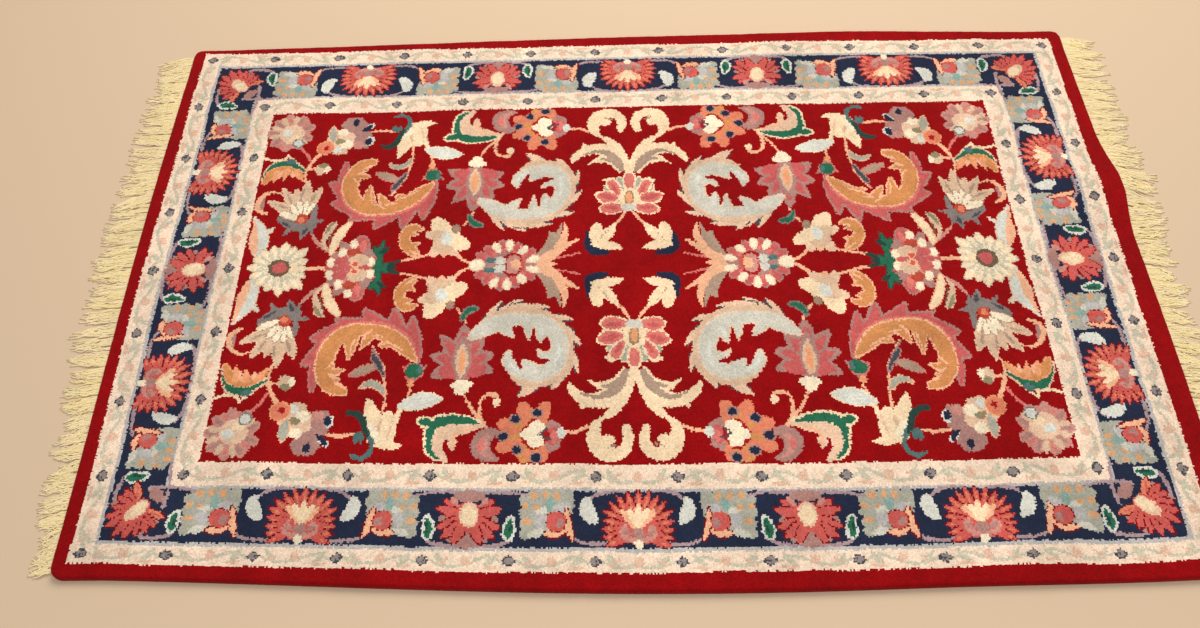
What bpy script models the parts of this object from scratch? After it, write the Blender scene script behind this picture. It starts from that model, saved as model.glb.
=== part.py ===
"""Hand-tufted area rug lying flat, with a fringe on both short ends.

Metres, +Z up, the underside at Z = 0. X runs along the long side and Y along the short side.
Every place is worked out from the middle of the rug's design. At the end the whole rug is shifted,
so that the origin is the middle of its box, on the floor.
"""
import math

import bmesh
import bpy
from mathutils import Vector, noise

# The rug's cloth: backing and pile together
RUG_THICKNESS = 0.013
PILE_EDGE_RADIUS = 0.004
PILE_EDGE_SEGMENTS = 2
CORNER_RADIUS = 0.022
CORNER_STEPS = 2
INNER_COLUMNS = 30
INNER_ROWS = 24

# How far each edge's straight line lies from the middle of the design
EDGE_LINES = {"left": 0.922, "right": 0.922, "top": 0.577, "bottom": 0.578}

# Where an edge bows out past its straight line
EDGE_BOWS = (
    # edge, place of the bow along the edge, half its width, how far it goes out
    ("left", 0.150, 0.75, 0.009),
    ("right", -0.200, 0.90, 0.015),
    ("right", 0.165, 0.12, 0.012),
    ("top", 0.300, 1.50, 0.026),
    ("top", 0.480, 0.30, 0.004),
    ("bottom", 0.120, 1.25, 0.036),
    ("bottom", 0.850, 0.45, 0.009),
)

# A shallow ripple lifts the right edge where the cloth has been pushed in
RIPPLE_PLACE = (0.945, 0.165)
RIPPLE_REACH = (0.210, 0.110)
RIPPLE_HEIGHT = 0.008

# The fringe: locks of yarn that grow out of a narrow tape beside each short edge
PIECE_GAP = 0.0003
TAPE_WIDTH = 0.004
FRINGE_THICKNESS = 0.003
FRINGE_MARGIN = 0.012
LOCK_COUNT = 140
LOCK_LENGTH = 0.076
LOCK_LENGTH_CHANGE = 0.014
LOCK_SECTIONS = (
    # fraction of the length, width, thickness
    (0.34, 0.0046, 0.0028),
    (0.70, 0.0038, 0.0022),
    (1.00, 0.0020, 0.0014),
)

# How the locks lean together: reach of the lean at the tips, and how often it changes in a metre
LOCK_LEANS = (
    (0.022, 8.0),
    (0.006, 27.0),
)

RUG_COLOUR = (0.300, 0.006, 0.012, 1.0)
FRINGE_COLOUR = (0.720, 0.600, 0.340, 1.0)


def bell(distance):
    """A smooth hill of height 1 that ends where the distance is 1."""
    if abs(distance) >= 1.0:
        return 0.0
    return math.cos(0.5 * math.pi * distance) ** 2


def edge_place(edge, along):
    """Distance of an edge from the middle of the design, at a place along it."""
    bows = sum(rise * bell((along - place) / half_width)
               for name, place, half_width, rise in EDGE_BOWS if name == edge)
    return EDGE_LINES[edge] + bows


def ripple_lift(x, y):
    """Height of the cloth's underside above the floor."""
    inward = bell((x - RIPPLE_PLACE[0]) / RIPPLE_REACH[0])
    along = bell((y - RIPPLE_PLACE[1]) / RIPPLE_REACH[1])
    return RIPPLE_HEIGHT * inward * along


def spaced(count, start, end):
    """Evenly spaced places from start to end, count steps apart."""
    return [start + (end - start) * index / count for index in range(count + 1)]


def edge_distances(half_size, inner_steps):
    """Signed places across the rug, with short steps inside the rounded corners."""
    corner = spaced(CORNER_STEPS, -half_size, CORNER_RADIUS - half_size)
    inner = spaced(inner_steps, CORNER_RADIUS - half_size, half_size - CORNER_RADIUS)
    return corner[:-1] + inner + [-place for place in reversed(corner[:-1])]


def round_corner(x_depth, y_depth):
    """Depths from two edges, drawn in so that the corner they make is a quarter circle."""
    across = 1.0 - min(x_depth / CORNER_RADIUS, 1.0)
    up = 1.0 - min(y_depth / CORNER_RADIUS, 1.0)
    drawn_x = CORNER_RADIUS * (across - across * math.sqrt(1.0 - 0.5 * up * up))
    drawn_y = CORNER_RADIUS * (up - up * math.sqrt(1.0 - 0.5 * across * across))
    return x_depth + drawn_x, y_depth + drawn_y


def cloth_point(x, y, half_length, half_width):
    """Place in the rug of a point in the plain rectangle of half_length by half_width."""
    x_edge = edge_place("right" if x > 0 else "left", y)
    y_edge = edge_place("top" if y > 0 else "bottom", x)
    x_depth = x_edge * (1.0 - abs(x) / half_length)
    y_depth = y_edge * (1.0 - abs(y) / half_width)
    x_depth, y_depth = round_corner(x_depth, y_depth)
    real_x = math.copysign(x_edge - x_depth, x)
    real_y = math.copysign(y_edge - y_depth, y)
    return Vector((real_x, real_y, ripple_lift(real_x, real_y)))


def cloth_rows():
    return edge_distances(EDGE_LINES["top"], INNER_ROWS)


def short_edge_points(edge, side):
    """The underside's points along a short edge of the cloth, from bottom to top."""
    half_length = EDGE_LINES[edge]
    return [cloth_point(side * half_length, row, half_length, EDGE_LINES["top"])
            for row in cloth_rows()]


def point_along(points, y):
    """The point at a given Y on the straight runs between the points."""
    for before, after in zip(points, points[1:]):
        if y <= after.y:
            break
    return before.lerp(after, (y - before.y) / (after.y - before.y))


def grid_of_places(columns, rows):
    """An open sheet of quads with its vertices at the given columns and rows."""
    sheet = bmesh.new()
    bmesh.ops.create_grid(sheet, x_segments=len(columns) - 1, y_segments=len(rows) - 1, size=1.0)
    for vertex in sheet.verts:
        column = round(0.5 * (vertex.co.x + 1.0) * (len(columns) - 1))
        row = round(0.5 * (vertex.co.y + 1.0) * (len(rows) - 1))
        vertex.co = Vector((columns[column], rows[row], 0.0))
    return sheet


def thicken(sheet, thickness):
    """Extrude an open sheet upwards into a closed body, and return the upper vertices."""
    raised = bmesh.ops.extrude_face_region(sheet, geom=sheet.faces[:])
    upper = [item for item in raised["geom"] if isinstance(item, bmesh.types.BMVert)]
    bmesh.ops.translate(sheet, verts=upper, vec=(0.0, 0.0, thickness))
    bmesh.ops.recalc_face_normals(sheet, faces=sheet.faces[:])
    return upper


def plain_material(name, colour, roughness):
    material = bpy.data.materials.new(name)
    material.use_nodes = True
    shader = material.node_tree.nodes["Principled BSDF"]
    shader.inputs["Base Color"].default_value = colour
    shader.inputs["Roughness"].default_value = roughness
    shader.inputs["Metallic"].default_value = 0.0
    return material


def add_object(name, shape, material, collection):
    mesh = bpy.data.meshes.new(name)
    shape.to_mesh(mesh)
    shape.free()
    mesh.materials.append(material)
    piece = bpy.data.objects.new(name, mesh)
    collection.objects.link(piece)
    return piece


def build_rug(collection):
    """One flat cloth with rounded corners, bowed edges, a ripple and a soft upper rim."""
    half_length = EDGE_LINES["right"]
    half_width = EDGE_LINES["top"]
    cloth = grid_of_places(edge_distances(half_length, INNER_COLUMNS), cloth_rows())
    for vertex in cloth.verts:
        vertex.co = cloth_point(vertex.co.x, vertex.co.y, half_length, half_width)
    upper = set(thicken(cloth, RUG_THICKNESS))
    rim = [edge for edge in cloth.edges
           if upper.issuperset(edge.verts) and edge.calc_face_angle() > math.radians(45)]
    bmesh.ops.bevel(cloth, geom=rim, offset=PILE_EDGE_RADIUS, segments=PILE_EDGE_SEGMENTS,
                    profile=0.5, affect="EDGES")
    wool = plain_material("wool_pile", RUG_COLOUR, 0.95)
    return add_object("rug", cloth, wool, collection)


def tape_stations(start, pitch):
    """Places along a tape: before and after each lock's root, and both ends."""
    half_root = 0.5 * LOCK_SECTIONS[0][1]
    stations = [start]
    for index in range(LOCK_COUNT):
        root = start + (index + 0.5) * pitch
        stations += [root - half_root, root + half_root]
    return stations + [start + LOCK_COUNT * pitch]


def lock_lean(root, fraction):
    """Sideways shift of a lock: smooth along the edge, so that neighbours never cross."""
    lean = sum(reach * noise.noise(Vector((root.y * changes, root.x, 0.0)))
               for reach, changes in LOCK_LEANS)
    return lean * fraction ** 1.5


def lock_place(root, side, fraction):
    """Middle of a lock's underside at a fraction of its length."""
    change = noise.noise(Vector((root.y * 60.0, root.x, 5.0)))
    length = LOCK_LENGTH + LOCK_LENGTH_CHANGE * change
    return Vector((root.x + side * length * fraction,
                   root.y + lock_lean(root, fraction),
                   root.z * (1.0 - fraction) ** 2))


def grow_lock(shape, face, side):
    """Extrude one face of the tape, section by section, into a tapering lock of yarn."""
    root = face.calc_center_median()
    root.z -= 0.5 * FRINGE_THICKNESS
    before = root
    for fraction, width, thickness in LOCK_SECTIONS:
        place = lock_place(root, side, fraction)
        run = (place - before).normalized()
        sideways = Vector((-run.y, run.x, 0.0)) * side
        middle = face.calc_center_median()
        face = bmesh.ops.extrude_discrete_faces(shape, faces=[face])["faces"][0]
        for vertex in face.verts:
            corner = math.copysign(0.5 * width, vertex.co.y - middle.y) * sideways
            height = thickness if vertex.co.z > middle.z else 0.0
            vertex.co = place + corner + Vector((0.0, 0.0, height))
        before = place


def build_fringe(edge, side, collection):
    """A narrow tape beside a short edge of the rug, and the locks that grow out of it."""
    start = FRINGE_MARGIN - edge_place("bottom", side * EDGE_LINES[edge])
    end = edge_place("top", side * EDGE_LINES[edge]) - FRINGE_MARGIN
    pitch = (end - start) / LOCK_COUNT
    tape = grid_of_places([0.0, TAPE_WIDTH], tape_stations(start, pitch))
    rim = short_edge_points(edge, side)
    for vertex in tape.verts:
        beside = point_along(rim, vertex.co.y)
        beside.x += side * (PIECE_GAP + vertex.co.x)
        vertex.co = beside
    thicken(tape, FRINGE_THICKNESS)
    outer_faces = [face for face in tape.faces if face.normal.x * side > 0.7]
    for face in outer_faces:
        steps = (face.calc_center_median().y - start) / pitch
        if abs(steps - math.floor(steps) - 0.5) < 0.1:
            grow_lock(tape, face, side)
    bmesh.ops.recalc_face_normals(tape, faces=tape.faces[:])
    cotton = plain_material("cotton_yarn_" + edge, FRINGE_COLOUR, 0.9)
    return add_object("fringe_" + edge, tape, cotton, collection)


def centre_over_origin(pieces):
    """Shift all pieces together, so that their box is centred over the origin."""
    points = [vertex.co for piece in pieces for vertex in piece.data.vertices]
    middle_x = 0.5 * (min(point.x for point in points) + max(point.x for point in points))
    middle_y = 0.5 * (min(point.y for point in points) + max(point.y for point in points))
    for piece in pieces:
        piece.location = (-middle_x, -middle_y, 0.0)


def main():
    for item in list(bpy.data.objects):
        bpy.data.objects.remove(item)
    collection = bpy.data.collections.new("area_rug")
    bpy.context.scene.collection.children.link(collection)
    pieces = [
        build_rug(collection),
        build_fringe("left", -1, collection),
        build_fringe("right", 1, collection),
    ]
    centre_over_origin(pieces)


main()
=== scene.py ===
"""Looks of the hand-tufted area rug: cut wool pile, its woven backing and the cotton fringe.

The design is drawn in a chart of one quarter of the rug, one cell a millimetre, and mirrored about
both middles as on the real rug. Chart places are millimetres from the design's middle, X along the
long side and Y along the short side. All else is in metres in the frame's axes. The pile is real
relief: each cell of a fine grid is a tuft with its own height and yarn.
"""

import math

import bmesh
import bpy
import numpy as np
from mathutils import Matrix, Vector, noise


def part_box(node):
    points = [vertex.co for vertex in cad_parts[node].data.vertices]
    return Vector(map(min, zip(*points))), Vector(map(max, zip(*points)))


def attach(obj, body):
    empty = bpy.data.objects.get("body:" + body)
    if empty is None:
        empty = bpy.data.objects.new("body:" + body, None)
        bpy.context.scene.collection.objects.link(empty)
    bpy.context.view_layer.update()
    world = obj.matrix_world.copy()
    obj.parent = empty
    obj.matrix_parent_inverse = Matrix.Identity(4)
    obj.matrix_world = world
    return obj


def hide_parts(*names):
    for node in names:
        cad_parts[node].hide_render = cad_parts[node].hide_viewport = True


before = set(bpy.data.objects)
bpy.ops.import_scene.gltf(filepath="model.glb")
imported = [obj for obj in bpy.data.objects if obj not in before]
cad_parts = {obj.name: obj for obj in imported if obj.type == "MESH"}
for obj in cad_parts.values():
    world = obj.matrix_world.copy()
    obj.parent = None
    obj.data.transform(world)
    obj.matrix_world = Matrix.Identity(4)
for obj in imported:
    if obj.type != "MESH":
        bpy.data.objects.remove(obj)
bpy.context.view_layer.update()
MM = 0.001

# The design's middle, from the rug's own box and how far the rug reaches left and down from there
RUG_LOW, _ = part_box("rug")
LEFT_REACH = 0.9310
BOTTOM_REACH = 0.6140
MIDDLE = Vector((RUG_LOW.x + LEFT_REACH, RUG_LOW.y + BOTTOM_REACH, 0.0))

# The pile
RUG_THICKNESS = 0.013
CORNER_RADIUS = 0.022
PILE_FOOT = 0.0025
TUFT_PITCH = 0.0025
RIM_STEPS = (0.0, 0.0009, 0.0021, 0.0036, 0.0055)
RIM_ROUNDING = 0.0055
RIM_FLOOR_GAP = 0.0005
SKIRT_ROWS = 3
BLOCK_COLUMNS = 3
BLOCK_ROWS = 2

# How uneven the tufts are in place, height and shade, and how deep the line between two yarns is
TUFT_SCATTER = 0.0007
TUFT_HEIGHTS = (-0.0005, 0.0004)
TUFT_SHADES = (0.86, 1.11)
YARN_LINE_DEPTH = 0.0005
PILE_WAVES = (
    # rise, size of a wave, seed
    (0.0004, 0.035, 21),
    (0.0003, 0.012, 22),
)
WALL_BULGES = (-0.0003, 0.0006)
# Painted shade: the pile's side walls take their yarn's colour darkened by this share
WALL_PAINTED_SHADE = 0.92

# The ripple that lifts the right edge, from the design's middle
RIPPLE_PLACE = (0.945, 0.165)
RIPPLE_REACH = (0.210, 0.110)
RIPPLE_HEIGHT = 0.008

# The chart
CHART_LENGTH = 945
CHART_WIDTH = 615
BANDS = (
    # half length, half width, yarn
    (898, 562, "guard"),
    (862, 526, "mist"),
    (856, 520, "navy"),
    (768, 431, "mist"),
    (763, 426, "guard"),
    (722, 385, "red"),
)
MAIN_BORDER = (811, 474)
OUTER_GUARD = (879, 543)
INNER_GUARD = (743, 406)

# How much of each edge's bow the design follows, and how far out it follows it fully
BOW_SHARES = {"top": 0.45, "bottom": 0.80, "left": 0.95, "right": 0.0}
BOW_FULL_LENGTH = 930
BOW_FULL_WIDTH = 600

# The whole design lies a little above the middle of the rug
DESIGN_RISE = 1.7

# Along the bottom edge the outer guard border is narrower, and the red margin wider
NARROW_GUARD_PLACE = (530, 560)
NARROW_GUARD_BY = 6.0

# How the lines of the design wobble on the cloth
LINE_WOBBLES = (
    # size of a wave, reach, seed
    (150.0, 2.6, 11),
    (46.0, 1.5, 12),
    (7.0, 0.7, 13),
)

# How far a tuft may stray over the edge of its colour
YARN_STRAY = 0.0011

# Yarn colours as a viewer sees them in daylight, 0 to 255
YARNS = {
    "red": (150, 9, 14),
    "coral": (210, 96, 88),
    "wine": (122, 12, 26),
    "crimson": (168, 28, 30),
    "rose": (202, 98, 98),
    "pink": (222, 124, 116),
    "dusty": (206, 146, 136),
    "mauve": (178, 134, 128),
    "lilac": (176, 150, 156),
    "cream": (250, 224, 188),
    "guard": (250, 226, 204),
    "ivory": (250, 236, 208),
    "peach": (246, 188, 152),
    "blush": (236, 200, 172),
    "orange": (214, 146, 92),
    "apricot": (240, 166, 122),
    "salmon": (226, 134, 104),
    "beige": (222, 190, 162),
    "tan": (222, 168, 124),
    "shell": (232, 194, 170),
    "bone": (208, 203, 182),
    "taupe": (178, 152, 134),
    "olive": (150, 140, 110),
    "navy": (38, 46, 70),
    "slate": (74, 78, 88),
    "smoke": (134, 126, 124),
    "ash": (152, 142, 140),
    "mist": (192, 190, 190),
    "sky": (212, 210, 198),
    "ice": (222, 224, 216),
    "steel": (176, 176, 163),
    "aqua": (144, 174, 168),
    "green": (44, 110, 84),
    "teal": (84, 120, 120),
    "forest": (42, 72, 66),
    "umber": (112, 96, 78),
    "brick": (186, 78, 60),
}
YARN_NAMES = list(YARNS)
chart = np.full((CHART_WIDTH, CHART_LENGTH), YARN_NAMES.index("red"), np.uint8)

# Straight steps between two rows of a curve
CURVE_STEPS = 6

# How full a leaf or a petal is along its length
LEAF_FORM = ((0.0, 0.30), (0.25, 0.80), (0.5, 1.0), (0.75, 0.72), (0.92, 0.30), (1.0, 0.04))
PETAL_FORM = ((0.0, 0.35), (0.3, 0.75), (0.65, 1.0), (0.88, 0.80), (1.0, 0.40))
TOOTH_FORM = ((0.0, 1.0), (0.35, 0.82), (0.7, 0.48), (1.0, 0.06))


def smooth_path(rows):
    """A smooth curve through rows of x, y and width."""
    rows = np.array(rows, float)
    before = 2 * rows[0] - rows[1]
    after = 2 * rows[-1] - rows[-2]
    knots = np.vstack([before, rows, after])
    path = []
    for a, b, c, d in zip(knots, knots[1:], knots[2:], knots[3:]):
        for t in np.linspace(0, 1, CURVE_STEPS, endpoint=False):
            path.append(0.5 * (2 * b + (c - a) * t + (2 * a - 5 * b + 4 * c - d) * t ** 2
                               + (3 * b - a - 3 * c + d) * t ** 3))
    path.append(rows[-1])
    return np.array(path)


def edging_room(edging):
    """Room that a form needs round it for its edging."""
    return 1 + (edging[1] if edging else 0)


class Pen:
    """Draws on the chart in local millimetres, about a place, turned by degrees.

    A flipped pen draws the mirror image, and a squeeze draws forms shorter along the local x.
    An edging is a yarn and the width of a line round the form. Forms that grow together are drawn
    twice, first all with their edging and then all without.
    """

    def __init__(self, x=0.0, y=0.0, turn=0.0, flip=False, squeeze=1.0):
        self.x = x
        self.y = y
        self.cos = math.cos(math.radians(turn))
        self.sin = math.sin(math.radians(turn))
        self.side = -squeeze if flip else squeeze

    def spot(self, along, out):
        """Chart place of a local point."""
        along = along * self.side
        return (self.x + along * self.cos - out * self.sin,
                self.y + along * self.sin + out * self.cos)

    def cells(self, low, high):
        """Slices of the chart around a local box, and the local places of their cells."""
        corners = np.array([self.spot(a, b) for a in (low[0], high[0]) for b in (low[1], high[1])])
        first = np.clip(corners.min(0).astype(int), 0, (CHART_LENGTH, CHART_WIDTH))
        last = np.clip(corners.max(0).astype(int) + 1, 0, (CHART_LENGTH, CHART_WIDTH))
        rows = slice(first[1], last[1])
        columns = slice(first[0], last[0])
        y, x = np.mgrid[rows, columns] + 0.5
        x, y = x - self.x, y - self.y
        return (rows, columns), (x * self.cos + y * self.sin) / self.side, y * self.cos - x * self.sin

    def dye(self, place, distance, yarn, edging):
        """Colour a form, where the distance from its rim is below 0, and a line round it."""
        area = chart[place]
        if edging:
            edging_yarn, edging_width = edging
            area[distance < edging_width] = YARN_NAMES.index(edging_yarn)
        area[distance < 0] = YARN_NAMES.index(yarn)

    def stroke(self, yarn, *rows, edging=None):
        """A curved band through rows of x, y and width, such as a stem or a scroll."""
        path = smooth_path(rows)
        reach = path[:, 2].max() / 2 + edging_room(edging)
        place, x, y = self.cells(path[:, :2].min(0) - reach, path[:, :2].max(0) + reach)
        distance = np.full(x.shape, np.inf)
        for (x0, y0, width0), (x1, y1, width1) in zip(path, path[1:]):
            run_x, run_y = x1 - x0, y1 - y0
            length_squared = max(run_x ** 2 + run_y ** 2, 1e-6)
            along = np.clip(((x - x0) * run_x + (y - y0) * run_y) / length_squared, 0, 1)
            away = np.hypot(x - x0 - along * run_x, y - y0 - along * run_y)
            distance = np.minimum(distance, away - (width0 + along * (width1 - width0)) / 2)
        self.dye(place, distance, yarn, edging)

    def leaf(self, yarn, base, tip, width, bend=0.0, form=LEAF_FORM, edging=None):
        """A leaf or petal from base to tip, bent to its left."""
        run_x, run_y = tip[0] - base[0], tip[1] - base[1]
        length = math.hypot(run_x, run_y)
        rows = []
        for along, fullness in form:
            aside = 4 * bend * along * (1 - along) / length
            rows.append((base[0] + along * run_x - aside * run_y,
                         base[1] + along * run_y + aside * run_x, width * fullness))
        self.stroke(yarn, *rows, edging=edging)

    def disc(self, yarn, x, y, radius_x, radius_y, lobes=0, depth=0.0, edging=None):
        """A round or oval patch, its rim perhaps scalloped."""
        reach = max(radius_x, radius_y) * (1 + abs(depth)) + edging_room(edging)
        place, along, out = self.cells((x - reach, y - reach), (x + reach, y + reach))
        across, up = (along - x) / radius_x, (out - y) / radius_y
        rim = 1 + depth * np.cos(lobes * np.arctan2(up, across))
        distance = (np.hypot(across, up) - rim) * min(radius_x, radius_y)
        self.dye(place, distance, yarn, edging)

    def petals(self, yarn, x, y, inner, outer, width, angles, form=LEAF_FORM, edging=None):
        """Petals round a point, one at each angle."""
        for angle in angles:
            run_x, run_y = math.cos(math.radians(angle)), math.sin(math.radians(angle))
            self.leaf(yarn, (x + inner * run_x, y + inner * run_y),
                      (x + outer * run_x, y + outer * run_y), width, form=form, edging=edging)

    def strokes(self, yarn, *strokes, **look):
        """Strokes of one yarn, each a list of rows."""
        for rows in strokes:
            self.stroke(yarn, *rows, **look)

    def leaves(self, yarn, *leaves, **look):
        """Leaves of one yarn, each a base, a tip, a width and perhaps a bend."""
        for leaf in leaves:
            self.leaf(yarn, *leaf, **look)

    def discs(self, yarn, *discs, **look):
        """Discs of one yarn, each the x and y of its middle and its radii."""
        for disc in discs:
            self.disc(yarn, *disc, **look)


def draw_bands():
    """The bands of the borders and the field, each a rectangle on the one before."""
    for half_length, half_width, yarn in BANDS:
        chart[:half_width, :half_length] = YARN_NAMES.index(yarn)


# Main border: red fans and rosettes in turn, grey palmettes between them, on one lilac vine


def border_fan(pen):
    """A fan of narrow red petals that opens towards the field, about a pink and cream heart."""
    for angle, reach in ((-90, 67), (-74, 67), (-59, 66), (-45, 66), (-31, 64), (-17, 60), (-3, 58),
                         (11, 57), (25, 56)):
        # the middle petal is its own mirror image, so the set holds its angle once
        for side_angle in {angle, -180 - angle}:
            pen.petals("coral", 0, 20, 10, reach, 14, (side_angle,), edging=("wine", 1.6))
            pen.petals("salmon", 0, 20, 40, reach - 7, 4, (side_angle,))
    pen.disc("coral", 0, 20, 34, 20)
    pen.disc("dusty", 0, 21, 30, 17)
    pen.petals("coral", 0, 30, 8, 30, 9, (-25, -55, -125, -155))
    pen.petals("peach", 0, 16, 0, 38, 12, (-48, -90, -132), form=PETAL_FORM)
    pen.petals("cream", 0, 14, 2, 33, 10, (-62, -90, -118), form=PETAL_FORM)
    pen.disc("mauve", 0, 22, 10, 9)
    pen.leaves("mauve", ((-12, 24), (-26, 18), 7), ((12, 24), (26, 18), 7))
    pen.disc("ivory", 0, 39, 7, 7)


def border_comma(pen):
    """A pale comma petal beside a fan."""
    pen.stroke("ice", (66, 5, 5), (73, 0, 16), (80, -10, 24), (83, -21, 20), (80, -29, 11))


def border_rosette(pen):
    """A rosette of red and grey petals that hangs from a grey bud on the field's side."""
    pen.petals("mauve", 0, 2, 14, 44, 16, (2, 50, 72, 90, 108, 130, 178), form=PETAL_FORM)
    for angle, reach in ((-36, 50), (-17, 54), (18, 52), (38, 53), (61, 47)):
        for side_angle in (angle, 180 - angle):
            pen.petals("coral", 0, 0, 6, reach, 16, (side_angle,), edging=("wine", 1.8))
            pen.petals("rose", 0, 0, 24, reach - 8, 5, (side_angle,))
    pen.stroke("mauve", (-20, -35, 11), (0, -36, 20), (20, -35, 11))
    pen.petals("dusty", 0, 0, 26, 46, 9, (-48, 228))
    pen.disc("coral", 0, -2, 20, 25)
    pen.disc("blush", 0, -5, 15, 21)
    pen.disc("cream", 0, -4, 12, 16)


def border_leaf(pen):
    """A green leaf with a pale edge, beside a rosette."""
    pen.leaf("green", (67, 2), (64, 30), 14, bend=2, form=PETAL_FORM, edging=("ice", 4))
    pen.leaf("forest", (67, 8), (65, 26), 5)


def border_palmette(pen):
    """A grey palmette with orange eyes, whose red heart leans towards the fan."""
    pen.disc("steel", -11, -7, 40, 37, lobes=9, depth=0.04)
    pen.stroke("steel", (21, -10, 18), (20, -31, 18), (-38, -31, 18), (-39, -20, 20),
               (-39, 20, 20))
    for x, y in ((22, -36), (4, -37), (-14, -38), (-32, -37), (-46, -28), (-46, -8), (-45, 10),
                 (-44, 25)):
        pen.disc("steel", x, y, 10, 9)
    pen.discs("mist", (14, -16, 14, 7), (-22, 4, 9, 14))
    pen.leaves("sky", ((-14, 22), (-42, 28), 13), ((-4, -14), (-30, -10), 11))
    pen.leaf("aqua", (-8, -12), (-4, -32), 15)
    for x, y, wide, high in ((4, -36, 5, 7), (-14, -37, 5, 6), (-32, -36, 6, 6), (-46, -18, 6, 5),
                             (-43, 6, 8, 5), (-28, -16, 5, 4)):
        pen.disc("tan", x, y, wide, high)
    pen.leaves("peach", ((31, 33), (21, -16), 13, -3), ((19, 20), (-16, 26), 13, -2),
               edging=("wine", 2))
    pen.disc("coral", 4, 6, 16, 16, edging=("wine", 1))
    pen.disc("mauve", 9, 8, 8, 8)
    pen.leaf("rose", (-6, 14), (6, -8), 8, bend=3)


def border_vine(pen, fan_side):
    """Pieces of the vine along both edges, beside a fan or a rosette."""
    if fan_side:
        pen.strokes("lilac", ((16, -44, 3), (40, -44, 5), (62, -40, 6), (76, -31, 4)),
                    ((44, 38, 4), (62, 40, 6), (88, 38, 5), (104, 30, 4)))
    else:
        pen.strokes("lilac", ((14, -40, 8), (34, -42, 6), (62, -41, 5), (92, -35, 4)),
                    ((12, 43, 4), (34, 44, 6), (54, 41, 6), (67, 35, 4)))


def border_side(place_pen, fans, rosettes, palmette_place, squeeze):
    """One side of the main border, from the places of its fans and rosettes.

    palmette_place is the distance of a palmette from its fan.
    """
    for fan in fans:
        for flip in (False, True):
            border_vine(place_pen(fan, flip), True)
            palmette = fan + (-palmette_place if flip else palmette_place)
            border_palmette(place_pen(palmette, not flip, squeeze))
            border_comma(place_pen(fan, flip, squeeze))
        border_fan(place_pen(fan, False))
    for rosette in rosettes:
        for flip in (False, True):
            border_vine(place_pen(rosette, flip), False)
            border_leaf(place_pen(rosette, flip))
        border_rosette(place_pen(rosette, False))


def corner_rosette(pen):
    """The rosette in a corner, whose grey bud points to the middle of the rug."""
    pen.petals("mauve", 0, 2, 14, 42, 17, (-20, 22, 158, 200), form=PETAL_FORM)
    for angle, yarn, reach in ((-32, "salmon", 50), (-8, "coral", 46), (12, "coral", 44),
                               (36, "coral", 44), (57, "coral", 50), (78, "coral", 54)):
        for side_angle in (angle, 180 - angle):
            pen.petals(yarn, 0, -2, 6, reach, 15, (side_angle,), edging=("wine", 1.8))
            pen.petals("rose", 0, -2, 24, reach - 8, 4, (side_angle,))
    pen.stroke("mauve", (-9, -40, 14), (0, -40, 20), (9, -40, 14))
    pen.disc("coral", 0, 0, 18, 25)
    pen.disc("blush", 0, -2, 12, 22)
    pen.disc("cream", 0, -6, 9, 15)


def draw_main_border():
    """Fans and rosettes in turn along both sides, and a rosette in the corner."""
    corner_x, corner_y = MAIN_BORDER
    long_wave, short_wave = corner_x / 3, corner_y / 2
    border_side(lambda at, flip, squeeze=1.0: Pen(at, corner_y, 0, flip, squeeze),
                fans=(0, 2 * long_wave), rosettes=(long_wave,), palmette_place=135, squeeze=1.0)
    border_side(lambda at, flip, squeeze=1.0: Pen(corner_x, at, -90, not flip, squeeze),
                fans=(short_wave,), rosettes=(0,), palmette_place=114, squeeze=0.86)
    for pen in (Pen(corner_x - 6, corner_y - 4, 0, True),
                Pen(corner_x - 8, corner_y + 2, -90, False)):
        border_vine(pen, False)
        border_leaf(pen)
    corner_rosette(Pen(corner_x - 4, corner_y - 4, -45))


# Guard borders: small dark flowers on a pale wavy vine


def guard_flower(pen):
    """A small grey flower with a dark rim."""
    pen.disc("slate", 0, 0, 10, 9, lobes=4, depth=0.07)
    pen.disc("ash", 0.5, -0.5, 7.5, 6.5, lobes=5, depth=0.08)
    pen.leaf("slate", (-6, -2), (1, 3), 2.5)


def guard_vine(pen, step):
    """The vine, leaves and dot between one flower and the next."""
    half = step / 2
    pen.stroke("bone", (10, 4, 4), (half * 0.5, -8, 6), (half, 6, 6), (half * 1.5, 9, 6),
               (step - 10, -2, 4))
    pen.leaves("bone", ((half * 0.3, -13), (half * 0.6, 9), 11, 3),
               ((half * 1.7, -13), (half * 1.4, 9), 11, -3))
    pen.leaves("shell", ((half * 0.25, 11), (half * 0.65, 13), 7),
               ((half * 1.7, 10), (half * 1.4, -6), 5))
    pen.disc("shell", half, -1, 8, 9)


def draw_guard(corner, long_flowers, short_flowers):
    """A guard border, from its corner and the number of steps between flowers on each half side."""
    corner_x, corner_y = corner
    long_step = corner_x / (long_flowers + 0.5)
    short_step = corner_y / short_flowers
    for index in range(long_flowers + 1):
        at = (index - 0.5) * long_step
        guard_vine(Pen(at, corner_y), long_step)
    for index in range(short_flowers):
        guard_vine(Pen(corner_x, index * short_step, -90, True), short_step)
    for index in range(long_flowers + 1):
        guard_flower(Pen((index + 0.5) * long_step, corner_y))
    for index in range(short_flowers):
        guard_flower(Pen(corner_x, index * short_step, -90))


# Field: one quarter of the flowers, leaves and scrolls


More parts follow.
